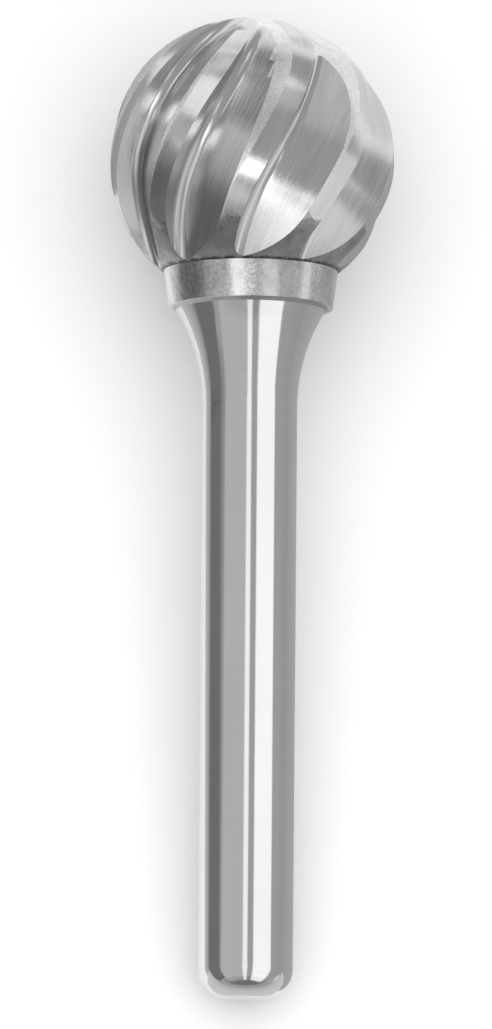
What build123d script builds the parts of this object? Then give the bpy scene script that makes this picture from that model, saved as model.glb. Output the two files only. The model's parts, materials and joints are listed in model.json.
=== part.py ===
from build123d import *
import math
import os

# Ball-nosed carbide burr, lying on a flat surface as it comes to rest. Millimetres and degrees.
# World frame: +Z up, head towards +Y, origin under the middle of the whole burr.
# Burr frame, used while modelling: ball centre at the origin, axis along Z, head up, shank down.

# Ball head
ball_radius = 9.525
flute_count = 9
flute_depth = 1.7
rake_angle = 8.0
flute_face_angle = 12.0
flute_face_hollow = 0.06
valley_radius = 0.7
helix_angle = 29.0

# Where the flutes run, as latitudes on the ball
deepest_latitude = -5.0
collar_margin = 0.5
lower_fade_power = 3.0
# Each flute in a group of three climbs to its own latitude: (upper end, how sharply it fades)
upper_ends = [(66.0, 1.5), (43.0, 3.0), (86.0, 2.0)]
lower_run_out = 1.5
upper_run_out = 5.0
section_spacing = 8.0

# Wheel clearance beyond the ball's surface, to either side of the flute
cutter_height = 2.2
cutter_reach = 6.2

# Collar under the ball, part of the carbide blank
collar_top_radius = 5.8
collar_bottom_radius = 5.5
collar_bottom_depth = 10.0

# Braze between the collar and the shank's seat
braze_thickness = 0.2
braze_lip = 0.25

# Steel shank
shank_radius = 3.175
seat_radius = 4.95
flare_radius = 12.5
shank_end_depth = 56.4
shank_end_round = 2.0

# The gullet that faces down at rest, counted from the flute left of the front land
bottom_flute = -4
front_edge_longitude = -28.0

seam_latitude = -math.degrees(math.acos(collar_top_radius / ball_radius))
lower_end_latitude = seam_latitude + collar_margin
flute_pitch = 360 / flute_count
lead_turn = math.tan(math.radians(helix_angle))


# A sphere point: longitude 0 faces -Y and grows towards +X
def ball_direction(latitude, longitude):
    lat = math.radians(latitude)
    lon = math.radians(longitude)
    return Vector(math.cos(lat) * math.sin(lon), -math.cos(lat) * math.cos(lon), math.sin(lat))


# Longitude of a cutting edge, a helix of constant lead
def edge_longitude(latitude):
    return front_edge_longitude + math.degrees(lead_turn * math.sin(math.radians(latitude)))


# How deep the flute's sharp inner corner lies; negative where the wheel has left the ball
def corner_depth(latitude, upper_end, upper_power):
    if latitude > deepest_latitude:
        share = (latitude - deepest_latitude) / (upper_end - deepest_latitude)
        return flute_depth * (1 - share**upper_power)
    share = (deepest_latitude - latitude) / (deepest_latitude - lower_end_latitude)
    return flute_depth * (1 - share**lower_fade_power)


# Plane through the ball's centre square to the flute: x to the right of the edge, y outwards
def section_plane(latitude):
    step = 0.01
    outward = ball_direction(latitude, edge_longitude(latitude))
    ahead = ball_direction(latitude + step, edge_longitude(latitude + step))
    behind = ball_direction(latitude - step, edge_longitude(latitude - step))
    along = (ahead - behind).normalized()
    sideways = along.cross(outward).normalized()
    return Plane(origin=outward * ball_radius, x_dir=sideways, z_dir=sideways.cross(outward))


# One section of the grinding wheel: rake face, rounded valley, hollow face, and a closed top
def wheel_section(latitude, upper_end, upper_power):
    rake = math.radians(rake_angle)
    slope = math.radians(flute_face_angle)
    depth = corner_depth(latitude, upper_end, upper_power)
    lift = flute_depth - depth
    corner = Vector(flute_depth * math.tan(rake), -depth)
    up_rake = Vector(-math.sin(rake), math.cos(rake))
    up_face = Vector(math.cos(slope), math.sin(slope))
    half_turn = (math.pi / 2 + rake - slope) / 2
    tangent_length = valley_radius / math.tan(half_turn)
    rake_foot = corner + up_rake * tangent_length
    face_foot = corner + up_face * tangent_length
    bisector = (up_rake + up_face).normalized()
    valley = corner + bisector * (valley_radius / math.sin(half_turn) - valley_radius)
    rake_top = corner + up_rake * ((flute_depth + cutter_height) / math.cos(rake))
    face_end = corner + up_face * ((cutter_reach - corner.X) / math.cos(slope))
    across_face = Vector(math.sin(slope), -math.cos(slope))
    face_middle = (face_foot + face_end) / 2 + across_face * flute_face_hollow
    top_end = Vector(face_end.X, cutter_height + lift)
    plane = section_plane(latitude)
    place = [plane.from_local_coords(p) for p in
             (rake_top, rake_foot, valley, face_foot, face_middle, face_end, top_end)]
    return Wire([
        Line(place[0], place[1]),
        ThreePointArc(place[1], place[2], place[3]),
        ThreePointArc(place[3], place[4], place[5]),
        Line(place[5], place[6]),
        Line(place[6], place[0]),
    ])


# The solid that a grinding wheel sweeps as it cuts one flute
def flute_cutter(upper_end, upper_power):
    first = lower_end_latitude - lower_run_out
    last = upper_end + upper_run_out
    steps = math.ceil((last - first) / section_spacing)
    latitudes = [first + (last - first) * i / steps for i in range(steps + 1)]
    return Solid.make_loft([wheel_section(a, upper_end, upper_power) for a in latitudes])


def make_head():
    seam_depth = math.sqrt(ball_radius**2 - collar_top_radius**2)
    outline = Wire([
        CenterArc((0, 0), ball_radius, 90, seam_latitude - 90),
        Line((collar_top_radius, -seam_depth), (collar_bottom_radius, -collar_bottom_depth)),
        Line((collar_bottom_radius, -collar_bottom_depth), (0, -collar_bottom_depth)),
        Line((0, -collar_bottom_depth), (0, ball_radius)),
    ])
    blank = revolve(Plane.XZ * make_face(outline), Axis.Z)
    cutters = [flute_cutter(*reach) for reach in upper_ends]
    head = blank
    for k in range(flute_count):
        cutter = cutters[k % len(cutters)].rotate(Axis.Z, k * flute_pitch)
        head = head - cutter
    return head


def make_braze():
    top = -collar_bottom_depth
    bottom = top - braze_thickness
    lip_radius = seat_radius + braze_lip
    outline = Polyline((0, top), (lip_radius, top), (seat_radius, bottom), (0, bottom), close=True)
    return revolve(Plane.XZ * make_face(outline), Axis.Z)


def make_shank():
    seat = -collar_bottom_depth - braze_thickness
    rise = seat_radius - shank_radius
    flare_length = math.sqrt(2 * flare_radius * rise - rise**2)
    flare_turn = math.degrees(math.asin(flare_length / flare_radius))
    flare_foot = seat - flare_length
    end = -shank_end_depth
    flat_radius = shank_radius - shank_end_round
    outline = Wire([
        Line((0, seat), (seat_radius, seat)),
        CenterArc((shank_radius + flare_radius, flare_foot), flare_radius, 180 - flare_turn, flare_turn),
        Line((shank_radius, flare_foot), (shank_radius, end + shank_end_round)),
        CenterArc((flat_radius, end + shank_end_round), shank_end_round, 0, -90),
        Line((flat_radius, end), (0, end)),
        Line((0, end), (0, seat)),
    ])
    return revolve(Plane.XZ * make_face(outline), Axis.Z)


# Angle at the ball's centre from a cutting edge across the gullet to the next land's heel
def gullet_angle():
    slope = math.radians(flute_face_angle)
    corner_x = flute_depth * math.tan(math.radians(rake_angle))
    corner_y = ball_radius - flute_depth
    along = corner_x * math.cos(slope) + corner_y * math.sin(slope)
    run = math.sqrt(along**2 - corner_x**2 - corner_y**2 + ball_radius**2) - along
    return math.degrees(math.atan2(corner_x + run * math.cos(slope), corner_y + run * math.sin(slope)))


# The burr rests on the two land edges beside one gullet and on the rounded end of the shank
ball_height = ball_radius * math.cos(math.radians(gullet_angle() / 2))
round_depth = shank_end_depth - shank_end_round
round_offset = shank_radius - shank_end_round
rest_tilt = math.degrees(
    math.asin((ball_height - shank_end_round) / math.hypot(round_depth, round_offset))
    - math.atan2(round_offset, round_depth)
)
edge_slant = math.atan(lead_turn * math.cos(math.radians(rest_tilt)) ** 2)
gullet_middle = gullet_angle() / 2 / (math.cos(math.radians(rest_tilt)) * math.cos(edge_slant))
bottom_longitude = edge_longitude(-rest_tilt) + gullet_middle + bottom_flute * flute_pitch


def lay_down(shape):
    tilt = math.radians(rest_tilt)
    down_side = (0, math.sin(tilt), -math.cos(tilt))
    axis = (0, math.cos(tilt), math.sin(tilt))
    rest = Plane(origin=(0, 0, ball_height), x_dir=down_side, z_dir=axis)
    return rest.location * shape.rotate(Axis.Z, 90 - bottom_longitude).solid()


pieces = {
    "carbide_head": lay_down(make_head()),
    "braze_joint": lay_down(make_braze()),
    "shank": lay_down(make_shank()),
}
boxes = [shape.bounding_box() for shape in pieces.values()]
middle_y = (min(b.min.Y for b in boxes) + max(b.max.Y for b in boxes)) / 2
lowest_z = min(b.min.Z for b in boxes)
to_origin = Location((0, -middle_y, -lowest_z))

os.makedirs("parts", exist_ok=True)
for name, shape in pieces.items():
    export_step(to_origin * shape, f"parts/{name}.step")
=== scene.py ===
import json
import math

import bmesh
import bpy
from mathutils import Matrix, Vector


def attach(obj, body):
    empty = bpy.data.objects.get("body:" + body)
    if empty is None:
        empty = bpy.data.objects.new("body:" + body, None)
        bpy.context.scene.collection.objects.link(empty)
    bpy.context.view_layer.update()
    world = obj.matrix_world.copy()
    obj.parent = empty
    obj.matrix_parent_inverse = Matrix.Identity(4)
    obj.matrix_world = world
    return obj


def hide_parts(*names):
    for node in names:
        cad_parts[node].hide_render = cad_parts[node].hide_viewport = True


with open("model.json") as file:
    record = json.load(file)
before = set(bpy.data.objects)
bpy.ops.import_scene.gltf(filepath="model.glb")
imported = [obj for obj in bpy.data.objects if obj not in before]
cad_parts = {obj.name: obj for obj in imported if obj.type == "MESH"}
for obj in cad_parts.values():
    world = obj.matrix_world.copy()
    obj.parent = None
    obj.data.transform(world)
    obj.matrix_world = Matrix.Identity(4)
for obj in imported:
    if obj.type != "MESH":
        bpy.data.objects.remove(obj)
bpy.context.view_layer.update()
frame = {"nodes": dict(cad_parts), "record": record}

mm = 0.001

ball = dict(radius=9.525 * mm, segments=256, rings=128, smoothAngle=math.radians(30))

flute = dict(
    count=9,
    depth=1.7 * mm,
    rakeAngle=math.radians(8),
    faceAngle=math.radians(12),
    faceHollow=0.06 * mm,
    valleyRadius=0.7 * mm,
    helix=math.tan(math.radians(29)),
    frontEdge=math.radians(-28),       # longitude of the front-left cutting edge at the equator
    deepest=math.radians(-5),          # latitude where the flutes are deepest
    lowerPower=3.0,                    # how fast they run out towards the collar
    aboveSeam=math.radians(0.5),       # how far over the seam they end
    upperEnds=[(66, 1.5), (43, 3.0), (86, 2.0)],   # degrees where each kind runs out, and how fast
    bottomFlute=-4,                    # the gullet underneath, counted from the front-left edge
    wheelHeight=2.2 * mm,
    wheelReach=6.2 * mm,
    overruns=(1.5, 5),                 # degrees that the wheel goes on past the lower and upper end
    stationStep=2.0,                   # degrees between the wheel's outlines
    valleySteps=12,
    faceSteps=10,
)

relief = dict(
    depth=0.02 * mm,                   # at the cutting edge
    slope=math.radians(3.2),
    reach=2.2 * mm,                    # how far the wheel goes behind the edge
    overhang=0.3 * mm,                 # and in front of it
    height=1.5 * mm,
    latitudes=(math.radians(-35), math.radians(76)),
    lowerFade=math.radians(7),
    upperFade=math.radians(14),
    endLift=0.06 * mm,
)

# Depths are measured down the axis from the ball's centre
collar = dict(topRadius=5.8 * mm, bottomRadius=5.5 * mm, bottomDepth=10.0 * mm, brazeThickness=0.2 * mm)
shank = dict(
    radius=3.175 * mm,
    seatRadius=4.95 * mm,
    flareRadius=12.5 * mm,
    endDepth=56.4 * mm,
    endRound=2.0 * mm,
)

seamLatitude = -math.acos(collar["topRadius"] / ball["radius"])
seamDepth = -ball["radius"] * math.sin(seamLatitude)
lowerEnd = seamLatitude + flute["aboveSeam"]


def edgeLongitude(latitude):
    return flute["frontEdge"] + flute["helix"] * math.sin(latitude)


# The angle at the ball's centre from a cutting edge to its flute's heel, square to the flute
def gulletAngle():
    cornerX = flute["depth"] * math.tan(flute["rakeAngle"])
    cornerY = ball["radius"] - flute["depth"]
    slope = flute["faceAngle"]
    along = cornerX * math.cos(slope) + cornerY * math.sin(slope)
    run = math.sqrt(along**2 - cornerX**2 - cornerY**2 + ball["radius"]**2) - along
    return math.atan2(cornerX + run * math.cos(slope), cornerY + run * math.sin(slope))


# The collet grip in the record gives the axis, and the sizes give how far up it the ball sits
grip = frame["record"]["mounts"][0]
headward = -Vector(grip["axis"]).normalized()
seatDepth = collar["bottomDepth"] + collar["brazeThickness"]
flareRise = shank["seatRadius"] - shank["radius"]
flareLength = math.sqrt(2 * shank["flareRadius"] * flareRise - flareRise**2)
gripDepth = (seatDepth + flareLength + shank["endDepth"] - shank["endRound"]) / 2
ballCentre = Vector(grip["pos_m"]) + headward * gripDepth

restTilt = math.asin(headward.z)
edgeSlant = math.atan(flute["helix"] * math.cos(restTilt) ** 2)
gulletMiddle = gulletAngle() / 2 / (math.cos(restTilt) * math.cos(edgeSlant))
pitch = 2 * math.pi / flute["count"]
bottomLongitude = edgeLongitude(-restTilt) + gulletMiddle + flute["bottomFlute"] * pitch

downSide = Vector((0, math.sin(restTilt), -math.cos(restTilt)))
restFrame = Matrix((downSide, headward.cross(downSide), headward)).transposed().to_4x4()
spin = Matrix.Rotation(math.pi / 2 - bottomLongitude, 4, "Z")
burrToWorld = Matrix.Translation(ballCentre) @ restFrame @ spin
tiltDegrees = round(math.degrees(restTilt), 2)
print("burr lies at", [round(v / mm, 3) for v in ballCentre], "mm, tilt", tiltDegrees)


def deselectAll():
    if bpy.context.object and bpy.context.object.mode != "OBJECT":
        bpy.ops.object.mode_set(mode="OBJECT")
    bpy.ops.object.select_all(action="DESELECT")


def activate(piece):
    deselectAll()
    piece.select_set(True)
    bpy.context.view_layer.objects.active = piece


def cutAway(piece, tool):
    cut = piece.modifiers.new("cut", "BOOLEAN")
    cut.operation = "DIFFERENCE"
    cut.solver = "MANIFOLD"
    cut.object = tool
    cut.material_mode = "TRANSFER"
    activate(piece)
    bpy.ops.object.modifier_apply(modifier=cut.name)
    bpy.data.objects.remove(tool)


def ballDirection(latitude, longitude):
    flat = math.cos(latitude)
    return Vector((flat * math.sin(longitude), -flat * math.cos(longitude), math.sin(latitude)))


# A point of the cutting edge, with the axes sideways into the gullet and outwards
def edgeFrame(latitude):
    step = 0.0002   # radians either way, for the edge's direction
    outward = ballDirection(latitude, edgeLongitude(latitude))
    ahead = ballDirection(latitude + step, edgeLongitude(latitude + step))
    behind = ballDirection(latitude - step, edgeLongitude(latitude - step))
    along = (ahead - behind).normalized()
    sideways = along.cross(outward).normalized()
    return outward * ball["radius"], sideways, outward


# How deep the flute's corner lies, less and less towards both ends
def cornerDepth(latitude, upperEnd, upperPower):
    deepest = flute["deepest"]
    if latitude > deepest:
        share = (latitude - deepest) / (math.radians(upperEnd) - deepest)
        return flute["depth"] * (1 - share**upperPower)
    share = (deepest - latitude) / (deepest - lowerEnd)
    return flute["depth"] * (1 - share**flute["lowerPower"])


# Points along the circle through three others
def arcPoints(start, middle, end, count):
    corners = (start, middle, end)
    rises = (middle.y - end.y, end.y - start.y, start.y - middle.y)
    runs = (end.x - middle.x, start.x - end.x, middle.x - start.x)
    area = 2 * sum(corner.x * rise for corner, rise in zip(corners, rises))
    centreX = sum(corner.length_squared * rise for corner, rise in zip(corners, rises)) / area
    centreY = sum(corner.length_squared * run for corner, run in zip(corners, runs)) / area
    centre = Vector((centreX, centreY))
    radius = (start - centre).length
    first = math.atan2(start.y - centreY, start.x - centreX)
    turn = math.atan2(end.y - centreY, end.x - centreX) - first
    turn = (turn + math.pi) % (2 * math.pi) - math.pi
    angles = [first + turn * i / count for i in range(count + 1)]
    return [centre + radius * Vector((math.cos(angle), math.sin(angle))) for angle in angles]


# The flute wheel's outline: rake face, rounded valley, hollow face, and a closed top
def fluteOutline(latitude, upperEnd, upperPower):
    rake, slope = flute["rakeAngle"], flute["faceAngle"]
    depth = cornerDepth(latitude, upperEnd, upperPower)
    corner = Vector((flute["depth"] * math.tan(rake), -depth))
    upRake = Vector((-math.sin(rake), math.cos(rake)))
    upFace = Vector((math.cos(slope), math.sin(slope)))
    halfTurn = (math.pi / 2 + rake - slope) / 2
    tangent = flute["valleyRadius"] / math.tan(halfTurn)
    rakeFoot = corner + upRake * tangent
    faceFoot = corner + upFace * tangent
    bisector = (upRake + upFace).normalized()
    valley = corner + bisector * (flute["valleyRadius"] / math.sin(halfTurn) - flute["valleyRadius"])
    rakeTop = corner + upRake * ((flute["depth"] + flute["wheelHeight"]) / math.cos(rake))
    faceEnd = corner + upFace * ((flute["wheelReach"] - corner.x) / math.cos(slope))
    intoFace = Vector((math.sin(slope), -math.cos(slope)))
    faceMiddle = (faceFoot + faceEnd) / 2 + intoFace * flute["faceHollow"]
    topEnd = Vector((faceEnd.x, flute["wheelHeight"] + flute["depth"] - depth))
    points = [rakeTop] + arcPoints(rakeFoot, valley, faceFoot, flute["valleySteps"])
    return points + arcPoints(faceFoot, faceMiddle, faceEnd, flute["faceSteps"])[1:] + [topEnd]


# Drags an outline along the edge's path, station by station, and closes both ends
def sweepWheel(name, latitudes, outlineAt):
    bm = bmesh.new()
    rings = []
    for latitude in latitudes:
        origin, sideways, outward = edgeFrame(latitude)
        rings.append([bm.verts.new(origin + sideways * point.x + outward * point.y)
                      for point in outlineAt(latitude)])
    for ring, nextRing in zip(rings, rings[1:]):
        for i in range(len(ring)):
            bm.faces.new((ring[i - 1], ring[i], nextRing[i], nextRing[i - 1]))
    bm.faces.new(rings[0])
    bm.faces.new(rings[-1])
    bmesh.ops.recalc_face_normals(bm, faces=bm.faces)
    mesh = bpy.data.meshes.new(name)
    bm.to_mesh(mesh)
    bm.free()
    wheel = bpy.data.objects.new(name, mesh)
    bpy.context.collection.objects.link(wheel)
    return wheel


def latitudeRun(first, last):
    steps = math.ceil(math.degrees(last - first) / flute["stationStep"])
    return [first + (last - first) * i / steps for i in range(steps + 1)]


def fluteWheel(kind):
    upperEnd, upperPower = flute["upperEnds"][kind]
    before, after = flute["overruns"]
    run = latitudeRun(lowerEnd - math.radians(before), math.radians(upperEnd + after))
    return sweepWheel("fluteWheel", run, lambda latitude: fluteOutline(latitude, upperEnd, upperPower))


# The relief behind each cutting edge is a shallow flat, lifted clear of the ball where it ends
def reliefWheel():
    first, last = relief["latitudes"]

    def outline(latitude):
        lift = relief["depth"]
        for end, fade in ((first, relief["lowerFade"]), (last, relief["upperFade"])):
            near = max(0.0, 1 - abs(latitude - end) / fade)
            lift -= relief["endLift"] * near**2
        slope = math.tan(relief["slope"])
        back, front = -relief["reach"], relief["overhang"]
        return [Vector((front, -lift + front * slope)), Vector((front, relief["height"])),
                Vector((back, relief["height"])), Vector((back, -lift + back * slope))]

    return sweepWheel("reliefWheel", latitudeRun(first, last), outline)


def paint(piece, *looks):
    piece.data.materials.clear()
    for look in looks:
        piece.data.materials.append(look)


def makeHead(blankLook, collarLook, fluteLook, reliefLook):
    deselectAll()
    bpy.ops.mesh.primitive_uv_sphere_add(segments=ball["segments"], ring_count=ball["rings"],
                                         radius=ball["radius"])
    head = bpy.context.object
    head.name = "fluted_head"
    bpy.ops.object.mode_set(mode="EDIT")
    bpy.ops.mesh.select_all(action="SELECT")
    bpy.ops.mesh.bisect(plane_co=(0, 0, -seamDepth), plane_no=(0, 0, 1), clear_inner=True,
                        threshold=1e-8)
    drop = (0, 0, seamDepth - collar["bottomDepth"])
    bpy.ops.mesh.extrude_region_move(TRANSFORM_OT_translate={"value": drop})
    shrink = collar["bottomRadius"] / collar["topRadius"]
    bpy.ops.transform.resize(value=(shrink, shrink, 1), center_override=(0, 0, 0))
    bpy.ops.mesh.edge_face_add()
    bpy.ops.mesh.select_all(action="SELECT")
    bpy.ops.mesh.normals_make_consistent(inside=False)
    bpy.ops.object.mode_set(mode="OBJECT")
    paint(head, blankLook, collarLook)
    for face in head.data.polygons:
        face.material_index = int(face.center.z < -seamDepth)
    kinds = len(flute["upperEnds"])
    for kind in range(kinds):
        for turn in range(kind, flute["count"], kinds):
            for wheel, look in ((reliefWheel(), reliefLook), (fluteWheel(kind), fluteLook)):
                paint(wheel, look)
                activate(wheel)
                wheel.rotation_euler.z = turn * pitch
                bpy.ops.object.transform_apply()
                cutAway(head, wheel)
    activate(head)
    bpy.ops.object.shade_smooth_by_angle(angle=ball["smoothAngle"])
    head.data.transform(burrToWorld)
    return head


def newLook(name, colour, roughness, metallic=1.0):
    look = bpy.data.materials.new(name)
    look.use_nodes = True
    shader = look.node_tree.nodes["Principled BSDF"]
    shader.inputs["Base Color"].default_value = (*colour, 1)
    shader.inputs["Metallic"].default_value = metallic
    shader.inputs["Roughness"].default_value = roughness
    return look, look.node_tree, shader


# A node with its settings and inputs, where i0, i1 and so on are inputs by number
def addNode(tree, kind, settings=None, **values):
    node = tree.nodes.new(kind)
    for key, value in (settings or {}).items():
        setattr(node, key, value)
    for key, value in values.items():
        socket = node.inputs[int(key[1:]) if key[0] == "i" and key[1:].isdigit() else key]
        if isinstance(value, bpy.types.NodeSocket):
            tree.links.new(value, socket)
        else:
            socket.default_value = value
    return node


def maths(tree, operation, first, second):
    return addNode(tree, "ShaderNodeMath", dict(operation=operation), i0=first, i1=second).outputs[0]


# Object coordinates turned so that Z is the burr's axis and the ball's centre is the origin
def burrSpace(tree):
    place = addNode(tree, "ShaderNodeTexCoord").outputs["Object"]
    turned = addNode(tree, "ShaderNodeMapping", dict(vector_type="TEXTURE"), Vector=place,
                     Location=burrToWorld.translation, Rotation=burrToWorld.to_euler())
    return turned.outputs[0]


# The same, measured in ball radii
def ballSpace(tree):
    return addNode(tree, "ShaderNodeVectorMath", dict(operation="SCALE"), i0=burrSpace(tree),
                   Scale=1 / ball["radius"]).outputs[0]


# The helix unwound onto a drum: x and y run round the ball, z along its axis
def fluteSpace(tree):
    place = burrSpace(tree)
    height = addNode(tree, "ShaderNodeSeparateXYZ", Vector=place).outputs["Z"]
    twist = maths(tree, "MULTIPLY", height, -flute["helix"] / ball["radius"])
    straight = addNode(tree, "ShaderNodeVectorRotate", dict(rotation_type="Z_AXIS"), Vector=place,
                       Angle=twist)
    flat = addNode(tree, "ShaderNodeVectorMath", dict(operation="MULTIPLY"), i0=straight.outputs[0],
                   i1=(1, 1, 0))
    unit = addNode(tree, "ShaderNodeVectorMath", dict(operation="NORMALIZE"), i0=flat.outputs[0])
    parts = addNode(tree, "ShaderNodeSeparateXYZ", Vector=unit.outputs[0])
    up = maths(tree, "DIVIDE", height, ball["radius"])
    return addNode(tree, "ShaderNodeCombineXYZ", X=parts.outputs[0], Y=parts.outputs[1], Z=up).outputs[0]


def noise(tree, place, scale, stretch=(1, 1, 1), detail=2.0, roughness=0.5):
    scaled = addNode(tree, "ShaderNodeMapping", Vector=place, Scale=stretch)
    return addNode(tree, "ShaderNodeTexNoise", Vector=scaled.outputs[0], Scale=scale, Detail=detail,
                   Roughness=roughness).outputs["Fac"]


# Maps a value onto another range, by default from the range that a noise mostly fills
def spread(tree, value, low, high, fromLow=0.3, fromHigh=0.7):
    ranges = {"From Min": fromLow, "From Max": fromHigh, "To Min": low, "To Max": high}
    return addNode(tree, "ShaderNodeMapRange", Value=value, **ranges).outputs[0]


def useTone(tree, shader, tone):
    grey = addNode(tree, "ShaderNodeCombineColor", Red=tone, Green=tone, Blue=tone).outputs[0]
    tree.links.new(grey, shader.inputs["Base Color"])


def useRoughness(tree, shader, pattern, roughness):
    tree.links.new(spread(tree, pattern, *roughness), shader.inputs["Roughness"])


def useBump(tree, shader, height, strength, distance):
    bump = addNode(tree, "ShaderNodeBump", Height=height, Strength=strength, Distance=distance)
    tree.links.new(bump.outputs[0], shader.inputs["Normal"])


groundFlute = dict(
    tone=0.66, lineTone=0.07, cloudTone=0.04,
    lineScale=90, lineStretch=(1, 1, 1 / 30),
    cloudScale=9, cloudStretch=(1, 1, 0.3),
    roughness=(0.12, 0.22),
    bumpStrength=0.35, bumpDepth=0.012 * mm,
)
groundRelief = dict(groundFlute, lineTone=0.04, roughness=(0.14, 0.22), bumpStrength=0.2)


# Grinding lines that follow the flute
def makeGroundLook(name, finish):
    look, tree, shader = newLook(name, (finish["tone"],) * 3, finish["roughness"][0])
    place = fluteSpace(tree)
    lines = noise(tree, place, finish["lineScale"], finish["lineStretch"], detail=3.0,
                  roughness=0.65)
    clouds = noise(tree, place, finish["cloudScale"], finish["cloudStretch"])
    tone = maths(tree, "ADD", spread(tree, lines, -finish["lineTone"], finish["lineTone"]),
                 spread(tree, clouds, -finish["cloudTone"], finish["cloudTone"]))
    useTone(tree, shader, maths(tree, "ADD", tone, finish["tone"]))
    useRoughness(tree, shader, lines, finish["roughness"])
    useBump(tree, shader, lines, finish["bumpStrength"], finish["bumpDepth"])
    return look


blankCarbideWithPaintedShade = dict(
    # The darker underside tone is painted shade on the side of the ball turned away from the light
    topTone=0.88, shadedUndersideTone=0.4, cloudTone=0.1,
    underside=(-0.55, -0.4), undersideWaver=0.08,   # where it fades out, in ball radii up the axis
    cloudScale=9, grainScale=120,
    # Grain flecks in the colour: partly the carbide's grain, partly painted glint, stronger on the top
    # than on the underside
    grainAndGlint=(0.12, 0.42),                           # of the grains, on the underside and above it
    # The dark line at the seam is painted shade in the crease between ball and collar
    seam=(0.004, 0.022), seamShadeWaver=0.008,           # the dark line's fade, in ball radii over the seam
    seamShadeScale=30, seamShadeTone=0.2,
    roughness=(0.24, 0.44),
    bumpStrength=0.45, bumpDepth=0.02 * mm,
)


# The unground ball: grainy, darker underneath in painted shade, with grain flecks of partly painted glint
# that are weaker there, and a dark ragged line of painted shade at the collar
def makeBlankLook():
    finish = blankCarbideWithPaintedShade
    look, tree, shader = newLook("blankCarbideWithPaintedShade", (0.7,) * 3, finish["roughness"][0])
    place = ballSpace(tree)
    height = addNode(tree, "ShaderNodeSeparateXYZ", Vector=place).outputs["Z"]
    clouds = noise(tree, place, finish["cloudScale"], detail=5.0, roughness=0.65)
    grains = noise(tree, place, finish["grainScale"], detail=3.0, roughness=0.8)
    waver = spread(tree, clouds, -finish["undersideWaver"], finish["undersideWaver"])
    # share runs from 0 on the underside, in painted shade, to 1 on the top
    share = spread(tree, maths(tree, "ADD", height, waver), 0, 1, *finish["underside"])
    # The grain flecks, partly painted glint, fade towards the shaded underside
    grainAndGlint = maths(tree, "MULTIPLY", spread(tree, grains, -1, 1),
                    spread(tree, share, *finish["grainAndGlint"], 0, 1))
    tone = spread(tree, share, finish["shadedUndersideTone"], finish["topTone"], 0, 1)
    tone = maths(tree, "ADD", maths(tree, "ADD", tone, grainAndGlint),
                 spread(tree, clouds, -finish["cloudTone"], finish["cloudTone"]))
    # A ragged line of painted shade along the seam with the collar
    ragged = spread(tree, noise(tree, place, finish["seamShadeScale"]), -finish["seamShadeWaver"],
                    finish["seamShadeWaver"])
    seamShadeStart, seamShadeEnd = (rise - seamDepth / ball["radius"] for rise in finish["seam"])
    seamShadeLine = spread(tree, maths(tree, "ADD", height, ragged), finish["seamShadeTone"], 1, seamShadeStart, seamShadeEnd)
    useTone(tree, shader, maths(tree, "MULTIPLY", tone, seamShadeLine))
    useRoughness(tree, shader, grains, finish["roughness"])
    useBump(tree, shader, grains, finish["bumpStrength"], finish["bumpDepth"])
    return look


collarCarbide = dict(
    tone=(0.56, 0.9), grainTone=0.12,
    patchScale=6, patchStretch=(1, 1, 0.6),
    grainScale=45, grainStretch=(1, 1, 0.8),
    roughness=(0.1, 0.26),
    bumpStrength=0.5, bumpDepth=0.015 * mm,
)


def makeCollarLook():
    finish = collarCarbide
    look, tree, shader = newLook("collarCarbide", (0.6,) * 3, finish["roughness"][0])
    place = ballSpace(tree)
    grains = noise(tree, place, finish["grainScale"], finish["grainStretch"], detail=4.0,
                   roughness=0.75)
    patches = noise(tree, place, finish["patchScale"], finish["patchStretch"], detail=4.0,
                    roughness=0.6)
    useTone(tree, shader, maths(tree, "ADD", spread(tree, patches, *finish["tone"]),
                                spread(tree, grains, -finish["grainTone"], finish["grainTone"])))
    useRoughness(tree, shader, grains, finish["roughness"])
    useBump(tree, shader, grains, finish["bumpStrength"], finish["bumpDepth"])
    return look


polishedSteel = dict(
    tone=(0.73, 0.77), cloudTone=0.02,
    ringSpacing=0.09 * mm, ringStretch=(0.004, 0.004, 1),
    cloudScale=260, cloudStretch=(1, 1, 0.2),
    roughness=(0.07, 0.12),
    bumpStrength=0.04, bumpDepth=0.004 * mm,
)


# Very fine polishing rings round the shank
def makeShankLook():
    finish = polishedSteel
    look, tree, shader = newLook("polishedShank", (0.7,) * 3, finish["roughness"][0])
    place = burrSpace(tree)
    rings = noise(tree, place, 1 / finish["ringSpacing"], finish["ringStretch"], detail=3.0,
                  roughness=0.6)
    clouds = noise(tree, place, finish["cloudScale"], finish["cloudStretch"])
    useTone(tree, shader, maths(tree, "ADD", spread(tree, rings, *finish["tone"]),
                                spread(tree, clouds, -finish["cloudTone"], finish["cloudTone"])))
    useRoughness(tree, shader, rings, finish["roughness"])
    useBump(tree, shader, rings, finish["bumpStrength"], finish["bumpDepth"])
    return look


silverBraze = dict(
    darkColour=(0.36, 0.36, 0.355, 1), lightColour=(0.56, 0.56, 0.555, 1),
    cloudScale=900,
    roughness=(0.22, 0.4),
    bumpStrength=0.3, bumpDepth=0.03 * mm,
)


def makeBrazeLook():
    finish = silverBraze
    look, tree, shader = newLook("silverBraze", finish["lightColour"][:3], finish["roughness"][0])
    clouds = noise(tree, burrSpace(tree), finish["cloudScale"], detail=4.0)
    colour = addNode(tree, "ShaderNodeMix", dict(data_type="RGBA"), i0=clouds, i6=finish["darkColour"],
                     i7=finish["lightColour"]).outputs[2]
    tree.links.new(colour, shader.inputs["Base Color"])
    useRoughness(tree, shader, clouds, finish["roughness"])
    useBump(tree, shader, clouds, finish["bumpStrength"], finish["bumpDepth"])
    return look


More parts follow.
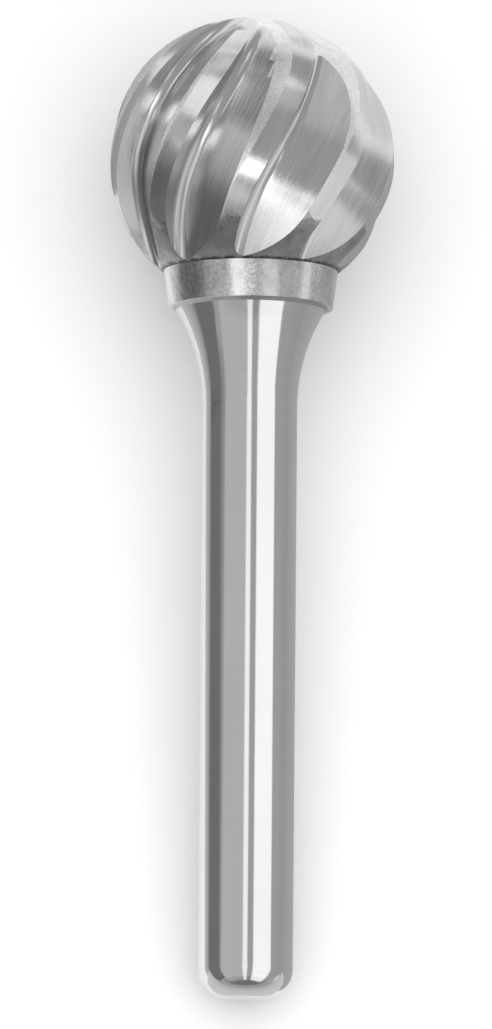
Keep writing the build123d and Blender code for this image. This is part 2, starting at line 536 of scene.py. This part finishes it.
head = makeHead(makeBlankLook(), makeCollarLook(), makeGroundLook("groundFlute", groundFlute),
                makeGroundLook("groundRelief", groundRelief))
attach(head, "root")
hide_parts("carbide_head")
print("head", len(head.data.polygons), "faces")

paint(frame["nodes"]["shank"], makeShankLook())
paint(frame["nodes"]["braze_joint"], makeBrazeLook())
print("finishes done")

paleFloor = dict(size=6, colour=(0.9, 0.9, 0.9), roughness=0.9, specular=0.1)


def makeFloor():
    deselectAll()
    bpy.ops.mesh.primitive_plane_add(size=paleFloor["size"])
    floor = bpy.context.object
    floor.name = "floor"
    look, tree, shader = newLook("paleFloor", paleFloor["colour"], paleFloor["roughness"], 0.0)
    shader.inputs["Specular IOR Level"].default_value = paleFloor["specular"]
    paint(floor, look)
    return floor


floor = makeFloor()

# An even grey dome, darker low on the left and behind the shank
room = dict(
    level=0.42,
    left=0.26, leftFade=(-0.97, -0.85),        # the fades go by the direction's X and Y
    behind=0.2, behindFade=(-0.95, -0.7),
    backdrop=1.0,                              # white where the camera sees past the floor
)


def makeRoom():
    world = bpy.data.worlds.new("studio")
    world.use_nodes = True
    tree = world.node_tree
    direction = addNode(tree, "ShaderNodeTexCoord").outputs["Generated"]
    parts = addNode(tree, "ShaderNodeSeparateXYZ", Vector=direction)
    leftward = spread(tree, parts.outputs["X"], room["left"] / room["level"], 1, *room["leftFade"])
    rearward = spread(tree, parts.outputs["Y"], room["behind"] / room["level"], 1, *room["behindFade"])
    level = maths(tree, "MULTIPLY", maths(tree, "MULTIPLY", leftward, rearward), room["level"])
    seen = addNode(tree, "ShaderNodeLightPath").outputs["Is Camera Ray"]
    level = addNode(tree, "ShaderNodeMix", i0=seen, i2=level, i3=room["backdrop"]).outputs[0]
    tree.nodes["Background"].inputs["Color"].default_value = (1, 1, 1, 1)
    tree.links.new(level, tree.nodes["Background"].inputs["Strength"])
    bpy.context.scene.world = world


makeRoom()
bpy.context.scene.view_settings.view_transform = "Standard"
print("floor and room done")

# Soft boxes, each by the angles it spans in degrees: lateral from overhead towards +X, and axial from
# square to the shank towards the head
softBoxes = dict(
    shankSliver=dict(lateral=(-9, 2), axial=(-60, 60), glow=0.72, lights="shank"),
    shankBroad=dict(lateral=(16, 61), axial=(-60, 60), glow=0.8, lights="shank"),
    shankLeft=dict(lateral=(-64, -9), axial=(-60, 60), glow=0.13, lights="shank"),
    headKey=dict(lateral=(-13, 6), axial=(-22, -9), glow=1.6, lights="head"),
    headKeyLeft=dict(lateral=(-24, -14), axial=(-20, -12), glow=0.9, lights="head"),
    headKeyTop=dict(lateral=(-29, -12), axial=(-8, -1), glow=1.1, lights="head"),
    headFront=dict(lateral=(-52, -12), axial=(-44, -10), glow=0.4, lights="head"),
    headFrontLeft=dict(lateral=(-67, -46), axial=(1, 8), glow=0.8, lights="head"),
    headFrontRight=dict(lateral=(4, 50), axial=(-52, -34), glow=0.35, lights="head"),
    headLeft=dict(lateral=(-92, -62), axial=(8, 30), glow=0.25, lights="head"),
    headUpperLeft=dict(lateral=(-65, -44), axial=(27, 58), glow=0.8, lights="head"),
    headUpperLeftTop=dict(lateral=(-84, -58), axial=(60, 76), glow=0.5, lights="head"),
    headUpper=dict(lateral=(24, 52), axial=(49, 62), glow=0.75, lights="head"),
    headUpperFaint=dict(lateral=(12, 42), axial=(34, 50), glow=0.22, lights="head"),
    headCrown=dict(lateral=(-115, -95), axial=(74, 90), glow=0.7, lights="head"),
    headRight=dict(lateral=(52, 92), axial=(-48, -11), glow=0.5, lights="head"),
    headRightMiddle=dict(lateral=(70, 92), axial=(-11, 3), glow=0.45, lights="head"),
    headRightUpper=dict(lateral=(96, 120), axial=(12, 42), glow=0.45, lights="head"),
    collarRight=dict(lateral=(12, 34), axial=(-9, -1), glow=0.6, lights="head"),
    overhead=dict(lateral=(-50, 50), axial=(-50, 50), glow=1.3, lights="floor"),
)
softBoxDistance = 0.35
narrowestSoftBox = 0.3    # the share of its width that a box keeps over the pole

# Cards that only show in the metal's gloss: two opposite corners in millimetres, and the brightness
# from one side to the other, which is across unless the card says lengthways
cards = dict(
    leftFloor=dict(corners=((-30, -52, 0.05), (-12, 11.5, 0.05)), glow=(0.25, 0.6)),
    leftFloorHead=dict(corners=((-30, 11.5, 0.05), (-15, 20, 0.05)), glow=(0.4, 0.7)),
    leftWallShank=dict(corners=((-30, -60, 0.05), (-30, 10, 17)), glow=(0.19, 0.19)),
    leftWallHead=dict(corners=((-30, 10, 8), (-30, 16.5, 23)), glow=(0.15, 0.15)),
    leftWallHeadRear=dict(corners=((-30, 16.5, 8), (-30, 25, 23)), glow=(0.15, 0.45), lengthways=True),
    leftWallHeadLow=dict(corners=((-30, 10, 0.05), (-30, 20, 8)), glow=(0.15, 0.15)),
    leftWallUpper=dict(corners=((-30, 44, 0.05), (-30, 110, 30)), glow=(0.2, 0.2)),
    leftRear=dict(corners=((-24, 22, 0.05), (-11, 42, 0.05)), glow=(0.45, 0.35)),
    leftCrown=dict(corners=((-14, 32, 0.07), (-3, 52, 0.07)), glow=(0.42, 0.42)),
    rightFloor=dict(corners=((4.2, -46, 0.05), (60, 27, 0.05)), glow=(0.45, 0.36)),
    rightWall=dict(corners=((60, -60, 0.05), (60, 18, 16)), glow=(0.4, 0.4)),
    rightRear=dict(corners=((12, 27, 0.05), (60, 80, 0.05)), glow=(0.85, 0.85)),
    endFloor=dict(corners=((-30, -60, 0.06), (30, -34.5, 0.06)), glow=(0.4, 0.72), lengthways=True),
    endFloorFar=dict(corners=((-200, -600, 0.06), (200, -60, 0.06)), glow=(0.35, 0.42), lengthways=True),
)

# What each kind of soft box lights
lit = dict(shank=[frame["nodes"]["shank"], frame["nodes"]["braze_joint"]], head=[head], floor=[floor])
groups = {}
for groupName, members in lit.items():
    groups[groupName] = bpy.data.collections.new(groupName + "Lit")
    for member in members:
        groups[groupName].objects.link(member)

rightward = Vector((1, 0, 0))
upright = rightward.cross(headward)


def burrDirection(lateral, axial):
    lateral, axial = math.radians(lateral), math.radians(axial)
    across = math.sin(lateral) * rightward + math.cos(lateral) * upright
    return math.cos(axial) * across + math.sin(axial) * headward


# How wide a box is to span these angles
def boxWidth(angles):
    return 2 * softBoxDistance * math.tan(math.radians(angles[1] - angles[0]) / 2)


def addSoftBox(name, box):
    lateral, axial = sum(box["lateral"]) / 2, sum(box["axial"]) / 2
    aim = ballCentre if box["lights"] == "head" else ballCentre - headward * gripDepth
    outward = burrDirection(lateral, axial)
    across = burrDirection(lateral + 90, 0)
    lamp = bpy.data.lights.new(name, "AREA")
    lamp.shape = "RECTANGLE"
    lamp.size = boxWidth(box["lateral"])
    lamp.size *= max(narrowestSoftBox, math.cos(math.radians(axial)))
    lamp.size_y = boxWidth(box["axial"])
    lamp.energy = box["glow"] * math.pi * lamp.size * lamp.size_y
    holder = bpy.data.objects.new(name, lamp)
    bpy.context.scene.collection.objects.link(holder)
    turned = Matrix((across, outward.cross(across), outward)).transposed().to_4x4()
    holder.matrix_world = Matrix.Translation(aim + outward * softBoxDistance) @ turned
    holder.visible_camera = False
    holder.light_linking.receiver_collection = groups[box["lights"]]


def makeCardLook(name, card, low, high):
    look, tree, shader = newLook(name, (0, 0, 0), 0.5, 0.0)
    lowGlow, highGlow = card["glow"]
    shader.inputs["Specular IOR Level"].default_value = 0
    shader.inputs["Emission Color"].default_value = (1, 1, 1, 1)
    shader.inputs["Emission Strength"].default_value = lowGlow
    if lowGlow != highGlow:
        axis = 1 if card.get("lengthways") else 0
        place = addNode(tree, "ShaderNodeTexCoord").outputs["Object"]
        along = addNode(tree, "ShaderNodeSeparateXYZ", Vector=place).outputs[axis]
        tree.links.new(spread(tree, along, lowGlow, highGlow, low[axis], high[axis]),
                       shader.inputs["Emission Strength"])
    return look


def addCard(name, card):
    low, high = (Vector(corner) * mm for corner in card["corners"])
    span = high - low
    flat = low.z == high.z
    deselectAll()
    bpy.ops.mesh.primitive_plane_add(size=1, location=(low + high) / 2,
                                     rotation=(0, 0 if flat else math.pi / 2, 0))
    panel = bpy.context.object
    panel.name = name + "Card"
    panel.scale = (span.x if flat else span.z, span.y, 1)
    bpy.ops.object.transform_apply()
    paint(panel, makeCardLook(name, card, low, high))
    panel.visible_camera = panel.visible_diffuse = False
    panel.visible_shadow = panel.visible_transmission = False


for name, box in softBoxes.items():
    addSoftBox(name, box)
for name, card in cards.items():
    addCard(name, card)
print("lights done")

shot = dict(
    below=math.radians(8.6),         # how far under the ball's equator the camera looks from
    aside=math.radians(-2.8),        # turn about the burr's axis
    roll=math.radians(0.45),
    distance=2.0,
    pixelsPerMetre=15010,
    imageWidth=492,
    imageHeight=1029,
    ballPixel=(251.5, 160),          # where the ball's centre lies in the image
    sensorHeight=24,
    clipStart=0.01,
)


def placeCamera():
    outward = math.cos(shot["aside"]) * upright + math.sin(shot["aside"]) * rightward
    toCamera = math.cos(shot["below"]) * outward - math.sin(shot["below"]) * headward
    imageUp = (headward - headward.dot(toCamera) * toCamera).normalized()
    right = imageUp.cross(toCamera).normalized()
    turned = Matrix.Rotation(shot["roll"], 3, toCamera)
    imageUp, right = turned @ imageUp, turned @ right
    offX = (shot["imageWidth"] / 2 - shot["ballPixel"][0]) / shot["pixelsPerMetre"]
    offY = (shot["ballPixel"][1] - shot["imageHeight"] / 2) / shot["pixelsPerMetre"]
    aim = ballCentre + right * offX + imageUp * offY
    bpy.ops.object.camera_add(location=aim + toCamera * shot["distance"])
    camera = bpy.context.object
    camera.rotation_euler = Matrix((right, imageUp, toCamera)).transposed().to_euler()
    camera.data.sensor_fit = "VERTICAL"
    camera.data.sensor_height = shot["sensorHeight"]
    viewHeight = shot["imageHeight"] / shot["pixelsPerMetre"]
    camera.data.lens = shot["sensorHeight"] * shot["distance"] / viewHeight
    camera.data.clip_start = shot["clipStart"]
    bpy.context.scene.camera = camera
    print("camera at", [round(v, 3) for v in camera.location])


placeCamera()
